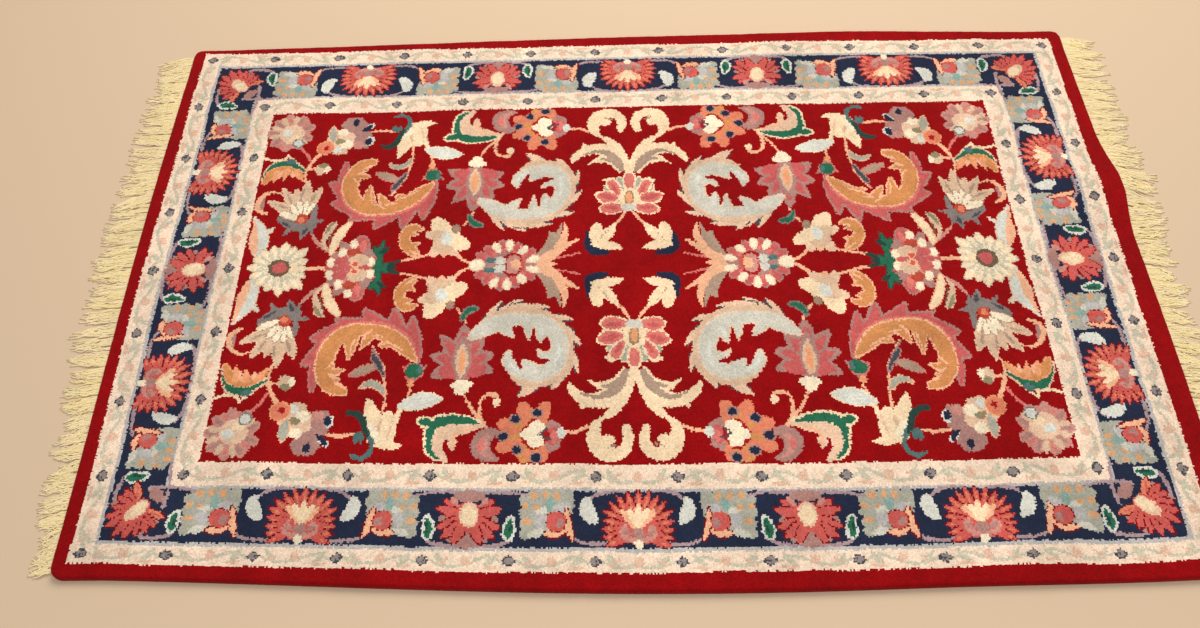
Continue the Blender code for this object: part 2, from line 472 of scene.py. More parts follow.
PEACH_STEMS = (
    # x, y and width at places along each stem
    ((30, 88, 6), (20, 98, 6), (13, 110, 5), (6, 122, 4)),
    ((80, 320, 6), (98, 329, 6), (118, 328, 5)),
    ((232, 330, 6), (252, 320, 6), (262, 306, 7), (280, 286, 5), (294, 262, 4)),
    ((258, 316, 6), (265, 294, 6), (264, 272, 6), (255, 262, 6), (240, 260, 8), (234, 266, 6)),
    ((300, 122, 4), (306, 108, 4), (318, 92, 5)),
    ((328, 32, 5), (318, 18, 6), (300, 5, 6), (286, 1, 5)),
    ((368, 30, 5), (388, 24, 5), (408, 18, 5), (432, 14, 5)),
    ((404, 296, 9), (394, 276, 6), (388, 256, 5), (388, 240, 6)),
    ((430, 292, 5), (428, 266, 5), (431, 244, 5), (434, 224, 4), (436, 212, 4), (446, 190, 3),
     (461, 166, 3)),
    ((472, 332, 5), (492, 335, 6), (518, 333, 5)),
    ((608, 280, 9), (620, 262, 7), (628, 244, 7), (632, 232, 6)),
    ((556, 0, 8), (576, 0, 7), (600, 0, 9)),
    ((608, 238, 5), (630, 238, 6)),
    ((632, 232, 6), (632, 214, 4), (628, 200, 4)),
)
PINK_STEMS = (
    # x, y and width at places along each stem
    ((94, 23, 3), (120, 17, 4), (148, 11, 6)),
    ((652, 294, 5), (638, 278, 6), (628, 260, 5)),
)


def draw_stems(pen):
    """Thin stems that join the field's flowers."""
    pen.strokes("pink", *PINK_STEMS)
    pen.strokes("peach", *PEACH_STEMS)
    pen.disc("cream", 236, 274, 7, 8)


def draw_cream_curl(pen):
    """The fat cream curl beside the tall leaf."""
    pen.stroke("cream", (17, 324, 15), (13, 342, 18), (21, 360, 20), (40, 368, 24), (59, 360, 29),
               (69, 343, 26), (69, 326, 20), (63, 312, 12), (54, 304, 6))
    pen.disc("cream", 47, 343, 11, 9)
    pen.stroke("taupe", (32, 350, 2), (40, 352, 3), (48, 357, 2))


def draw_tall_leaf(pen):
    """The cream leaf of the middle, with a grey inlay and a second blade under it."""
    pen.strokes("cream", ((1, 232, 6), (14, 258, 14), (30, 283, 18), (46, 299, 14)),
                ((2, 216, 8), (18, 246, 26), (42, 266, 34), (70, 274, 26), (94, 266, 20),
                 (108, 252, 14), (112, 241, 5)))
    pen.stroke("taupe", (12, 218, 6), (24, 242, 16), (44, 260, 14), (66, 267, 8), (92, 260, 3))
    pen.stroke("cream", (18, 214, 6), (34, 236, 10), (56, 246, 16), (68, 244, 8), (80, 235, 3))
    pen.stroke("taupe", (16, 218, 5), (32, 240, 9), (50, 247, 6), (58, 246, 3))
    pen.leaf("cream", (84, 274), (92, 289), 9)


def draw_middle_palmette(pen):
    """A fan of pointed pink petals with cream edges and grey wedges between them."""
    pen.petals("steel", 0, 146, 20, 58, 20, (70, 36, 2), edging=("cream", 2.5))
    pen.leaf("pink", (0, 168), (2, 208), 17, form=PETAL_FORM, edging=("cream", 4))
    pen.leaf("pink", (18, 158), (38, 194), 19, form=PETAL_FORM, edging=("cream", 3.5))
    pen.leaf("cream", (32, 199), (52, 192), 9)
    pen.leaf("pink", (22, 151), (63, 161), 25, bend=-2, edging=("cream", 3))
    pen.leaf("pink", (12, 128), (50, 126), 25, form=PETAL_FORM, edging=("cream", 3))
    pen.leaves("rose", ((26, 150), (58, 160), 12), ((22, 164), (34, 186), 8),
               ((22, 128), (48, 130), 10))
    pen.disc("cream", 0, 150, 20, 26)
    pen.disc("apricot", 0, 151, 7, 14, edging=("olive", 2.5))
    pen.disc("sky", 0, 128, 15, 9)


def draw_cream_bud(pen):
    """An open bud of cream blades in a navy sepal."""
    pen.stroke("navy", (46, 24, 8), (60, 26, 15), (74, 32, 20), (80, 46, 17), (79, 60, 12),
               (81, 70, 6))
    pen.leaf("cream", (70, 40), (27, 93), 22, bend=3)
    pen.leaf("cream", (67, 42), (62, 88), 24, bend=-2, form=PETAL_FORM)
    pen.leaf("cream", (74, 42), (18, 33), 20, bend=-3)
    pen.stroke("taupe", (44, 76, 1.5), (54, 62, 1.5), (62, 50, 1.5))


def draw_oval_palmette(pen):
    """The palmette on the long middle line, with ivory tips."""
    pen.disc("mauve", 228, 0, 50, 38, lobes=10, depth=0.08)
    for angle, reach in ((22, 60), (42, 56), (75, 51), (112, 46), (148, 54)):
        pen.petals("rose", 228, 0, 18, reach, 17, (angle,), form=PETAL_FORM, edging=("mauve", 3))
        pen.petals("pink", 228, 0, 20, reach - 12, 7, (angle,))
    pen.disc("ivory", 285, 0, 13, 12, edging=("blush", 2))
    for angle, reach in ((59, 53), (91, 51), (131, 48), (167, 57)):
        pen.petals("ivory", 228, 0, reach - 18, reach, 13, (angle,), form=PETAL_FORM,
                   edging=("blush", 2))
    pen.disc("coral", 226, 0, 30, 25)
    pen.disc("mauve", 236, 6, 22, 22)
    pen.disc("crimson", 220, 12, 17, 14)
    pen.disc("dusty", 218, 8, 13, 13)
    pen.disc("peach", 213, 3, 9, 9)
    pen.disc("sky", 243, 9, 10, 9)
    pen.disc("teal", 261, 11, 10, 6)


def draw_forked_leaf(pen):
    """Peach and grey blades on the palmette's inner side."""
    pen.strokes("taupe", ((172, 14, 12), (158, 28, 20), (147, 44, 24), (144, 60, 20), (152, 72, 4)),
                ((142, 44, 14), (135, 66, 10), (129, 92, 3)))
    pen.strokes("peach", ((176, 4, 14), (152, 15, 22), (131, 31, 14), (115, 43, 10), (98, 54, 4)),
                ((140, 30, 8), (128, 48, 15), (122, 66, 12), (122, 82, 8), (125, 93, 3)),
                ((160, 0, 16), (136, 0, 5)))


BLUE_SCROLL_TEETH = (
    # base of the tooth inside the scroll's back, its tip, its width
    ((262, 118), (237, 77), 15),
    ((238, 106), (197, 74), 19),
    ((214, 94), (147, 91), 19),
    ((144, 116), (104, 119), 16),
    ((122, 138), (91, 172), 17),
    ((112, 180), (98, 223), 15),
    ((124, 214), (143, 254), 22),
    ((170, 236), (203, 266), 26),
)
BLUE_SCROLL_MIDDLE = (175, 170)
BLUE_SCROLL_FLAMES = (
    # base of the flame, its tip, its width
    ((158, 128), (164, 161), 25),
    ((186, 122), (184, 156), 15),
    ((234, 124), (211, 150), 24),
    ((166, 224), (194, 198), 28),
)


def draw_blue_scroll(pen):
    """An acanthus scroll of pale blue, with a beige toothed back."""
    for base, tip, width in BLUE_SCROLL_TEETH:
        inner = [place + 0.05 * (middle - place) for place, middle in zip(tip, BLUE_SCROLL_MIDDLE)]
        pen.leaf("slate", base, inner, width + 5, bend=3, form=TOOTH_FORM)
        pen.leaf("blush", base, tip, width, bend=3, form=TOOTH_FORM)
    pen.stroke("beige", (286, 141, 4), (262, 120, 14), (236, 106, 18), (202, 98, 18),
               (162, 106, 20), (132, 128, 20), (114, 162, 16), (112, 196, 16), (126, 226, 18),
               (158, 241, 14), (190, 240, 12), (212, 228, 6))
    for edging in (("blush", 2.5), None):
        for base, tip, width in BLUE_SCROLL_FLAMES:
            pen.leaf("sky", base, tip, width, form=TOOTH_FORM, edging=edging)
        pen.strokes("sky", ((136, 184, 14), (148, 190, 13), (159, 188, 10), (167, 179, 3)),
                    ((290, 151, 8), (270, 137, 26), (248, 125, 30), (222, 117, 24),
                     (196, 115, 23), (168, 120, 25), (146, 134, 28), (131, 158, 29),
                     (129, 184, 29), (136, 207, 29), (156, 221, 28), (184, 221, 26),
                     (207, 213, 22), (219, 197, 17), (218, 182, 6)), edging=edging)
    pen.strokes("red", ((195, 213, 3), (201, 200, 9), (208, 182, 12)),
                ((148, 200, 4), (160, 199, 9), (172, 196, 12)))
    pen.leaf("ice", (160, 134), (163, 156), 10)
    pen.strokes("ice", ((134, 160, 4), (130, 182, 9), (136, 204, 6)),
                ((196, 221, 4), (212, 208, 7), (219, 194, 4)))


def draw_lotus(pen):
    """A pink lotus with a white bud on top and an orange heart."""
    pen.disc("mauve", 301, 192, 40, 42)
    for tip, width in (((244, 219), 24), ((355, 229), 24), ((244, 184), 24), ((358, 186), 24),
                       ((264, 150), 22), ((343, 145), 22), ((302, 124), 26)):
        pen.leaf("mauve", (300, 198), tip, width + 5)
        inner = (300 + 0.8 * (tip[0] - 300), 198 + 0.8 * (tip[1] - 198))
        pen.leaf("rose", (300, 198), inner, width - 3)
    pen.discs("rose", (280, 216, 22, 14), (322, 216, 20, 14))
    pen.leaf("crimson", (300, 208), (300, 236), 8)
    pen.leaf("mauve", (302, 154), (302, 236), 36)
    pen.leaf("beige", (302, 166), (302, 230), 24)
    pen.leaf("apricot", (302, 174), (302, 224), 13)
    pen.discs("ivory", (299, 242, 19, 9), (299, 250, 12, 11))
    pen.stroke("green", (284, 92, 7), (294, 94, 11), (303, 103, 8), (307, 114, 3),
               edging=("smoke", 3))


def draw_cream_flower(pen):
    """A cream and beige flower below the lotus."""
    pen.leaves("blush", ((350, 60), (384, 74), 20), ((352, 55), (372, 26), 20), form=PETAL_FORM)
    pen.leaf("peach", (346, 52), (350, 22), 20)
    pen.leaf("blush", (340, 54), (330, 28), 22, form=PETAL_FORM)
    pen.leaves("cream", ((346, 64), (302, 42), 32), ((346, 66), (372, 110), 36))
    pen.discs("beige", (350, 54, 22, 24), (362, 68, 14, 14))
    pen.discs("cream", (332, 62, 14, 18), (356, 90, 14, 10))
    pen.disc("ice", 347, 63, 11, 14)
    pen.disc("mauve", 330, 84, 5, 6, edging=("olive", 3))


def draw_orange_hook(pen):
    """A toothed orange hook under the orange scroll."""
    for edging in (("peach", 3), None):
        pen.stroke("orange", (395, 85, 6), (408, 90, 12), (420, 83, 15), (425, 66, 16),
                   (421, 49, 18), (410, 36, 18), (401, 28, 9), edging=edging)
        pen.leaves("orange", ((414, 44), (398, 52), 10), ((418, 74), (402, 74), 10),
                   form=TOOTH_FORM, edging=edging)
    pen.stroke("peach", (415, 40, 3), (407, 33, 5), (401, 28, 6))


ORANGE_SCROLL_TEETH = (
    # base of the tooth inside the scroll's back, its tip, its width
    ((390, 158), (394, 110), 30),
    ((418, 142), (431, 92), 34),
    ((460, 122), (483, 92), 32),
    ((500, 122), (531, 110), 26),
    ((542, 142), (570, 149), 30),
    ((556, 180), (579, 199), 30),
)
ORANGE_SCROLL_FLAMES = (
    # base of the flame, its tip, its width
    ((424, 157), (449, 166), 20),
    ((464, 136), (482, 170), 20),
    ((501, 138), (501, 190), 25),
    ((538, 198), (524, 208), 14),
    ((536, 222), (507, 214), 18),
    ((528, 240), (512, 232), 13),
)


def draw_orange_scroll(pen):
    """An acanthus scroll of orange, with a pink toothed back."""
    for teeth_edging, back_edging in ((("mauve", 4), ("mauve", 3)), (None, None)):
        for base, tip, width in ORANGE_SCROLL_TEETH:
            pen.leaf("rose", base, tip, width - 5, bend=2, form=TOOTH_FORM, edging=teeth_edging)
        pen.stroke("rose", (379, 196, 6), (384, 170, 16), (398, 148, 18), (424, 128, 14),
                   (460, 118, 10), (500, 117, 10), (534, 130, 14), (551, 156, 16), (557, 186, 12),
                   (558, 220, 12), (555, 250, 5), edging=back_edging)
    pen.stroke("pink", (386, 172, 5), (404, 146, 7), (440, 124, 5), (500, 119, 4), (540, 140, 6),
               (556, 176, 6))
    for edging in (("peach", 3), None):
        for base, tip, width in ORANGE_SCROLL_FLAMES:
            pen.leaf("orange", base, tip, width, form=TOOTH_FORM, edging=edging)
        pen.stroke("orange", (384, 194, 5), (400, 176, 20), (422, 155, 28), (448, 140, 24),
                   (476, 134, 20), (504, 137, 26), (528, 154, 26), (539, 180, 28), (541, 206, 27),
                   (535, 229, 24), (521, 246, 22), (503, 254, 13), edging=edging)
    pen.strokes("peach", ((408, 176, 2), (424, 166, 4), (438, 160, 5), (444, 164, 2)),
                ((446, 148, 2), (460, 145, 4), (468, 144, 2)),
                ((468, 134, 2), (477, 142, 5), (478, 152, 2)),
                ((494, 150, 2), (499, 168, 4), (500, 182, 2)),
                ((524, 190, 2), (529, 202, 4), (538, 210, 2)),
                ((514, 221, 4), (524, 224, 6), (532, 220, 3)),
                ((500, 246, 2), (512, 242, 4), (522, 234, 2)))


def draw_small_leaves(pen):
    """Bud and leaves inside and around the orange scroll."""
    pen.leaf("mauve", (388, 246), (362, 203), 10, bend=3)
    pen.leaf("pink", (388, 246), (406, 203), 9, bend=-3)
    pen.disc("green", 384, 216, 15, 14, edging=("pink", 2))
    pen.leaf("teal", (376, 222), (372, 204), 9)
    pen.disc("apricot", 388, 240, 6, 8)
    pen.stroke("steel", (432, 258, 4), (438, 247, 9), (451, 239, 11), (463, 241, 8), (471, 247, 3),
               edging=("peach", 2))
    pen.leaf("taupe", (448, 206), (495, 226), 17, bend=-2, edging=("pink", 2))
    pen.stroke("mauve", (433, 226, 3), (441, 204, 5), (452, 184, 5), (464, 166, 2))
    pen.stroke("slate", (436, 223, 3), (441, 212, 6), (448, 200, 9), (455, 189, 8), (458, 183, 4),
               edging=("mauve", 2))
    pen.leaf("ice", (401, 282), (330, 267), 29, bend=3, edging=("cream", 2))
    pen.leaf("ice", (694, 76), (673, 92), 12, form=TOOTH_FORM, edging=("blush", 2))
    pen.stroke("ice", (716, 120, 2), (710, 106, 11), (702, 88, 24), (698, 66, 34), (696, 46, 28),
               (693, 32, 16), (690, 20, 4), edging=("blush", 2))
    pen.stroke("peach", (715, 112, 4), (711, 90, 9), (709, 66, 18), (705, 44, 14), (699, 32, 6))


def draw_orange_rosette(pen):
    """Six orange petals with navy eyes between them, about a white heart."""
    for angle, yarn, reach in ((-111, "salmon", 58), (-70, "salmon", 58), (-21, "salmon", 60),
                               (22, "salmon", 60), (71, "orange", 44), (112, "salmon", 44)):
        pen.petals(yarn, 172, 335, 12, reach, 26, (angle,), form=PETAL_FORM)
    pen.disc("salmon", 174, 336, 38, 40)
    pen.petals("orange", 172, 335, 18, 44, 12, (-85, -35, 8, 60, 98))
    for x, y in ((166, 375), (197, 362), (222, 337), (203, 307), (166, 296)):
        pen.disc("navy", x, y, 8, 7, edging=("mauve", 2.5))
    pen.disc("mauve", 139, 336, 16, 28, lobes=5, depth=0.08)
    pen.disc("rose", 139, 336, 11, 17)
    pen.disc("pink", 136, 338, 6, 12)
    pen.disc("ice", 124, 331, 8, 10)
    pen.disc("crimson", 169, 335, 23, 26, lobes=4, depth=0.06)
    pen.discs("ivory", (167, 346, 14, 12), (165, 322, 14, 12))
    pen.leaf("ivory", (156, 335), (192, 335), 24)
    pen.strokes("slate", ((142, 341, 2), (152, 338, 4), (162, 334, 3)),
                ((150, 324, 3), (156, 329, 4), (162, 334, 3)))


def draw_mauve_crescent(pen):
    """A mauve crescent beside the orange rosette."""
    pen.stroke("mauve", (228, 376, 5), (244, 372, 18), (257, 360, 30), (258, 344, 32),
               (246, 331, 22), (233, 328, 8))
    pen.stroke("dusty", (236, 374, 4), (250, 366, 10), (256, 352, 16), (250, 338, 10))
    pen.disc("pink", 258, 352, 5, 11)


def draw_hooked_leaf(pen):
    """A green leaf that turns up beside its peach neighbour."""
    pen.stroke("green", (266, 312, 5), (292, 307, 14), (322, 308, 18), (342, 318, 18),
               (346, 342, 9), (342, 362, 10), (330, 376, 4), edging=("cream", 4))
    pen.leaf("green", (340, 314), (366, 309), 15, edging=("cream", 4))
    pen.stroke("blush", (260, 317, 7), (286, 322, 16), (314, 328, 26), (331, 344, 24),
               (330, 362, 18), (318, 376, 12), (312, 380, 4))
    pen.leaf("blush", (314, 330), (305, 359), 20)
    pen.stroke("peach", (268, 320, 3), (296, 328, 5), (306, 340, 5), (304, 356, 3))
    pen.stroke("red", (314, 342, 3), (318, 350, 8), (312, 364, 3))
    pen.stroke("green", (268, 312, 4), (292, 306, 11), (322, 307, 14), (340, 318, 13),
               (345, 342, 8), (342, 362, 8), (328, 376, 4))


def draw_cream_bell(pen):
    """A cream bell flower with a teal tendril."""
    pen.leaves("cream", ((432, 334), (457, 264), 42, 2), ((430, 340), (389, 350), 24, -6),
               form=TOOTH_FORM)
    pen.disc("cream", 421, 324, 18, 33)
    pen.stroke("cream", (412, 312, 18), (404, 299, 10), (399, 288, 5))
    pen.stroke("blush", (410, 300, 2), (412, 320, 5), (418, 340, 3))
    pen.leaf("beige", (430, 306), (438, 334), 8)
    pen.leaf("ivory", (428, 346), (452, 312), 13)
    pen.stroke("teal", (474, 371, 5), (458, 376, 9), (445, 368, 9), (441, 352, 8), (447, 337, 9),
               (456, 324, 12))
    pen.disc("teal", 465, 340, 9, 11)
    pen.disc("red", 464, 348, 3, 3)
    pen.stroke("forest", (450, 336, 5), (457, 322, 10), (461, 308, 12), (470, 297, 12),
               (484, 293, 10), (491, 297, 4))


def draw_mauve_fan(pen):
    """A mauve fan with navy eyes about a cream flower."""
    pen.discs("mauve", (552, 352, 25, 21), (532, 312, 21, 23), lobes=6, depth=0.05)
    pen.disc("mauve", 546, 332, 22, 16)
    pen.disc("dusty", 538, 300, 12, 9)
    pen.disc("navy", 549, 359, 6, 9)
    pen.disc("ice", 517, 309, 9, 11)
    pen.disc("navy", 519, 308, 7, 9)
    pen.stroke("ice", (518, 350, 11), (526, 342, 12), (534, 336, 5))
    pen.stroke("navy", (520, 348, 9), (526, 341, 11), (534, 336, 5))
    pen.disc("blush", 574, 310, 27, 31, lobes=7, depth=0.07)
    pen.disc("beige", 574, 286, 18, 11, lobes=5, depth=0.1)
    pen.discs("ivory", (572, 332, 12, 9), (562, 302, 12, 11))
    pen.disc("olive", 578, 310, 13, 7)
    pen.disc("ice", 580, 288, 10, 8)
    pen.leaf("steel", (588, 308), (593, 348), 16, edging=("peach", 2))
    pen.disc("salmon", 602, 292, 16, 16, edging=("apricot", 2))
    pen.disc("crimson", 600, 291, 5, 6)


def draw_round_flower(pen):
    """A round dusty flower with a pale heart and a grey bud."""
    pen.petals("dusty", 677, 334, 10, 44, 22, range(-80, 260, 40), form=PETAL_FORM)
    pen.disc("dusty", 677, 334, 40, 43, lobes=4, depth=-0.05)
    pen.petals("mauve", 677, 334, 22, 46, 9, (-40, 0, 40, 120, 160, 200))
    pen.petals("pink", 677, 334, 26, 42, 5, (-60, 80, 140, 240))
    pen.petals("beige", 677, 334, 22, 45, 12, (-14, 20, 60, 100, 216))
    pen.disc("blush", 675, 330, 25, 24)
    pen.disc("ice", 684, 334, 10, 9)
    pen.disc("cream", 667, 320, 10, 9)
    pen.disc("ice", 658, 307, 9, 9, edging=("smoke", 3))


def draw_serrated_leaf(pen):
    """Orange over green, with teeth."""
    pen.strokes("cream", ((636, 234, 4), (652, 252, 5), (664, 264, 7), (676, 277, 3)),
                ((676, 276, 3), (682, 264, 8), (700, 262, 6), (720, 268, 5)))
    pen.stroke("green", (634, 232, 3), (648, 243, 7), (666, 253, 14), (690, 252, 14), (706, 238, 8),
               (715, 214, 4), edging=("blush", 3))
    pen.disc("teal", 666, 258, 9, 7)
    pen.stroke("orange", (638, 220, 6), (654, 231, 14), (678, 236, 19), (700, 225, 17),
               (711, 206, 9), edging=("apricot", 2))
    for base, tip in (((652, 230), (634, 208)), ((670, 234), (674, 208)), ((688, 230), (693, 204))):
        pen.leaf("apricot", base, tip, 14, form=TOOTH_FORM)
    pen.leaves("peach", ((660, 232), (656, 216), 8), ((680, 232), (684, 214), 7))


def draw_white_fan(pen):
    """A beige and white fan flower in grey sepals."""
    pen.stroke("smoke", (600, 96, 12), (616, 92, 18), (640, 98, 20), (664, 112, 12), (669, 118, 4))
    pen.leaf("smoke", (610, 104), (580, 108), 14, form=TOOTH_FORM)
    pen.leaf("smoke", (606, 100), (600, 146), 12)
    pen.leaves("smoke", ((612, 96), (620, 66), 20), ((606, 96), (600, 74), 10),
               ((640, 98), (655, 74), 12), form=TOOTH_FORM)
    pen.leaves("slate", ((612, 92), (618, 76), 8), ((642, 94), (662, 108), 6))
    for edging in (("blush", 1.5), None):
        for tip, width in (((596, 188), 22), ((623, 207), 22), ((646, 188), 20), ((673, 189), 20),
                           ((697, 158), 19)):
            pen.leaf("beige", (628, 124), tip, width, edging=edging)
        pen.disc("beige", 629, 146, 23, 26, edging=edging)
    pen.leaves("taupe", ((614, 150), (605, 178), 6), ((634, 158), (630, 192), 5),
               ((648, 150), (662, 176), 6), ((654, 140), (682, 152), 5))
    for tip, width in (((607, 147), 11), ((620, 154), 11), ((634, 155), 12), ((648, 147), 12),
                       ((667, 128), 14)):
        pen.leaf("ivory", (627, 112), tip, width, form=PETAL_FORM, edging=("taupe", 1.5))
    pen.disc("brick", 623, 113, 11, 12)
    pen.disc("salmon", 624, 111, 6, 7)


def draw_small_curl(pen):
    """A peach curl beside the white fan."""
    pen.stroke("peach", (670, 174, 4), (688, 181, 5), (703, 176, 8), (712, 160, 13),
               (713, 145, 14), (705, 133, 9), (694, 128, 4))
    pen.stroke("mauve", (704, 168, 3), (707, 154, 7), (706, 142, 6))


def draw_daisy(pen):
    """The ivory daisy on the long middle line."""
    for angle, reach in ((0, 58), (24, 55), (46, 57), (70, 52), (98, 59), (119, 54), (138, 66),
                         (160, 53), (180, 50)):
        pen.petals("cream", 650, 0, 10, reach, 21, (angle,), edging=("bone", 2))
        pen.petals("ivory", 650, 0, 18, reach - 8, 8, (angle,))
    pen.petals("bone", 650, 0, 18, 46, 5, (12, 35, 58, 84, 108, 128, 149, 170))
    pen.disc("umber", 650, 0, 21, 20)
    pen.disc("rose", 648, 0, 13, 13)
    pen.disc("cream", 622, 4, 8, 8)


def draw_pink_palmette(pen):
    """The large pink palmette on the long middle line, held by a green trident."""
    for edging in (("forest", 2), None):
        pen.stroke("green", (470, 0, 18), (469, 22, 12), (470, 40, 12), edging=edging)
        pen.leaf("green", (468, 30), (463, 60), 13, form=TOOTH_FORM, edging=edging)
        pen.leaves("green", ((470, 28), (481, 48), 10), ((468, 2), (440, 9), 10), edging=edging)
    pen.leaves("forest", ((450, 6), (426, 16), 8), ((452, 4), (436, 0), 7),
               ((468, 32), (450, 45), 9))
    pen.disc("rose", 518, 0, 38, 42)
    pen.leaf("rose", (512, 18), (501, 70), 34, edging=("mauve", 3))
    for angle, reach in ((14, 44), (42, 52), (68, 62), (140, 44)):
        pen.petals("mauve", 516, 0, 14, reach, 20, (angle,), form=PETAL_FORM)
    pen.petals("rose", 516, 0, 14, 46, 13, (4, 28, 56, 84, 152), form=PETAL_FORM)
    pen.petals("dusty", 516, 0, 20, 40, 5, (16, 42, 70, 126))
    pen.leaf("pink", (503, 36), (498, 62), 13)
    for x, y in ((517, 55), (537, 36), (554, 14), (483, 13)):
        pen.disc("ivory", x, y, 7, 9, edging=("blush", 1.5))
    pen.disc("mauve", 490, 34, 8, 12)
    pen.disc("brick", 516, 37, 13, 9)
    pen.disc("beige", 505, 17, 18, 14)
    pen.disc("rose", 537, 16, 12, 9)
    pen.disc("peach", 512, 9, 9, 9)
    pen.disc("coral", 512, 8, 5, 5)


def draw_cream_blades(pen):
    """Three blades beside the pink palmette, on one stem."""
    pen.stroke("dusty", (560, 36, 5), (578, 50, 7), (592, 66, 7), (600, 76, 3))
    pen.stroke("beige", (557, 103, 5), (566, 94, 16), (572, 76, 13), (575, 60, 8), (568, 44, 6))
    pen.stroke("olive", (561, 102, 5), (569, 93, 8), (574, 78, 4))
    pen.leaf("cream", (548, 84), (536, 70), 9, form=TOOTH_FORM)
    pen.stroke("cream", (532, 99, 9), (541, 87, 15), (551, 68, 15), (556, 50, 12), (558, 36, 7),
               edging=("peach", 2))
    pen.stroke("umber", (557, 92, 2), (564, 74, 3), (566, 56, 2))


def draw_bud(pen):
    """A small beige bud between the scroll and the serrated leaf."""
    pen.disc("beige", 602, 236, 11, 15)
    pen.disc("olive", 599, 245, 10, 7)
    pen.disc("ivory", 590, 234, 6, 10)


FIELD_MOTIFS = (
    draw_stems, draw_cream_curl, draw_tall_leaf, draw_middle_palmette, draw_cream_bud,
    draw_forked_leaf, draw_oval_palmette, draw_lotus, draw_blue_scroll, draw_cream_flower,
    draw_orange_hook, draw_orange_scroll, draw_small_leaves, draw_mauve_crescent,
    draw_orange_rosette, draw_hooked_leaf, draw_cream_bell, draw_mauve_fan, draw_round_flower,
    draw_serrated_leaf, draw_bud, draw_small_curl, draw_white_fan, draw_daisy,
    draw_pink_palmette, draw_cream_blades,
)


def draw_design():
    """The whole quarter, from the borders in to the field."""
    draw_bands()
    draw_main_border()
    draw_guard(OUTER_GUARD, 6, 4)
    draw_guard(INNER_GUARD, 5, 3)
    for motif in FIELD_MOTIFS:
        motif(Pen())


# Places on the cloth


def bell(distance):
    """A smooth hill of height 1 that ends where the distance is 1."""
    return np.where(np.abs(distance) < 1, np.cos(0.5 * np.pi * np.clip(distance, -1, 1)) ** 2, 0.0)


def ripple_lift(x, y):
    """Height of the cloth's underside above the floor."""
    inward = bell((x - RIPPLE_PLACE[0]) / RIPPLE_REACH[0])
    return RIPPLE_HEIGHT * inward * bell((y - RIPPLE_PLACE[1]) / RIPPLE_REACH[1])


NOISE_TABLE = (101, 103)


def value_noise(x, y, cell, seed):
    """Smooth random numbers from -1 to 1 that change over about one cell."""
    table = np.random.default_rng(seed).uniform(-1, 1, NOISE_TABLE)
    column, row = np.floor(x / cell).astype(int), np.floor(y / cell).astype(int)
    across, up = x / cell - column, y / cell - row
    across, up = across * across * (3 - 2 * across), up * up * (3 - 2 * up)
    rows, columns = table.shape
    row_after, column_after = (row + 1) % rows, (column + 1) % columns
    row, column = row % rows, column % columns
    lower = table[row, column] * (1 - across) + table[row, column_after] * across
    upper = table[row_after, column] * (1 - across) + table[row_after, column_after] * across
    return lower * (1 - up) + upper * up


def rug_outline():
    """Points of the CAD rug's outline about the design's middle, where its underside ends."""
    shape = bmesh.new()
    shape.from_mesh(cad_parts["rug"].data)
    bmesh.ops.remove_doubles(shape, verts=shape.verts, dist=1e-6)
    under = {face for face in shape.faces if face.normal.z < -0.7}
    rim = {vertex for edge in shape.edges if len(under.intersection(edge.link_faces)) == 1
           for vertex in edge.verts}
    points = np.array([(vertex.co - MIDDLE)[:2] for vertex in rim])
    shape.free()
    return points


# The outline, and half the cloth's size between the straight lines of its edges
OUTLINE = rug_outline()
HALF_LENGTH = 0.922
HALF_WIDTH = 0.577


def edge_place(axis, side, along):
    """Distance of an edge from the design's middle, at places along it."""
    straight = (HALF_LENGTH, HALF_WIDTH)
    near = np.abs(OUTLINE[:, 1 - axis]) < straight[1 - axis] - CORNER_RADIUS
    beside = side * OUTLINE[:, axis] > straight[axis] - CORNER_RADIUS
    points = OUTLINE[near & beside]
    points = points[np.argsort(points[:, 1 - axis])]
    return np.interp(along, points[:, 1 - axis], side * points[:, axis])


def cloth_places(x, y):
    """Places on the real outline of points in a plain rectangle, and their depth from the rim."""
    x_edge = np.where(x > 0, edge_place(0, 1, y), edge_place(0, -1, y))
    y_edge = np.where(y > 0, edge_place(1, 1, x), edge_place(1, -1, x))
    x_depth = x_edge * (1 - np.abs(x) / HALF_LENGTH)
    y_depth = y_edge * (1 - np.abs(y) / HALF_WIDTH)
    across = 1 - np.minimum(x_depth / CORNER_RADIUS, 1)
    up = 1 - np.minimum(y_depth / CORNER_RADIUS, 1)
    x_in = x_depth + CORNER_RADIUS * across * (1 - np.sqrt(1 - 0.5 * up * up))
    y_in = y_depth + CORNER_RADIUS * up * (1 - np.sqrt(1 - 0.5 * across * across))
    rim_depth = np.where((across > 0) & (up > 0),
                         CORNER_RADIUS * (1 - np.maximum(across, up)),
                         np.minimum(x_depth, y_depth))
    return np.sign(x) * (x_edge - x_in), np.sign(y) * (y_edge - y_in), rim_depth


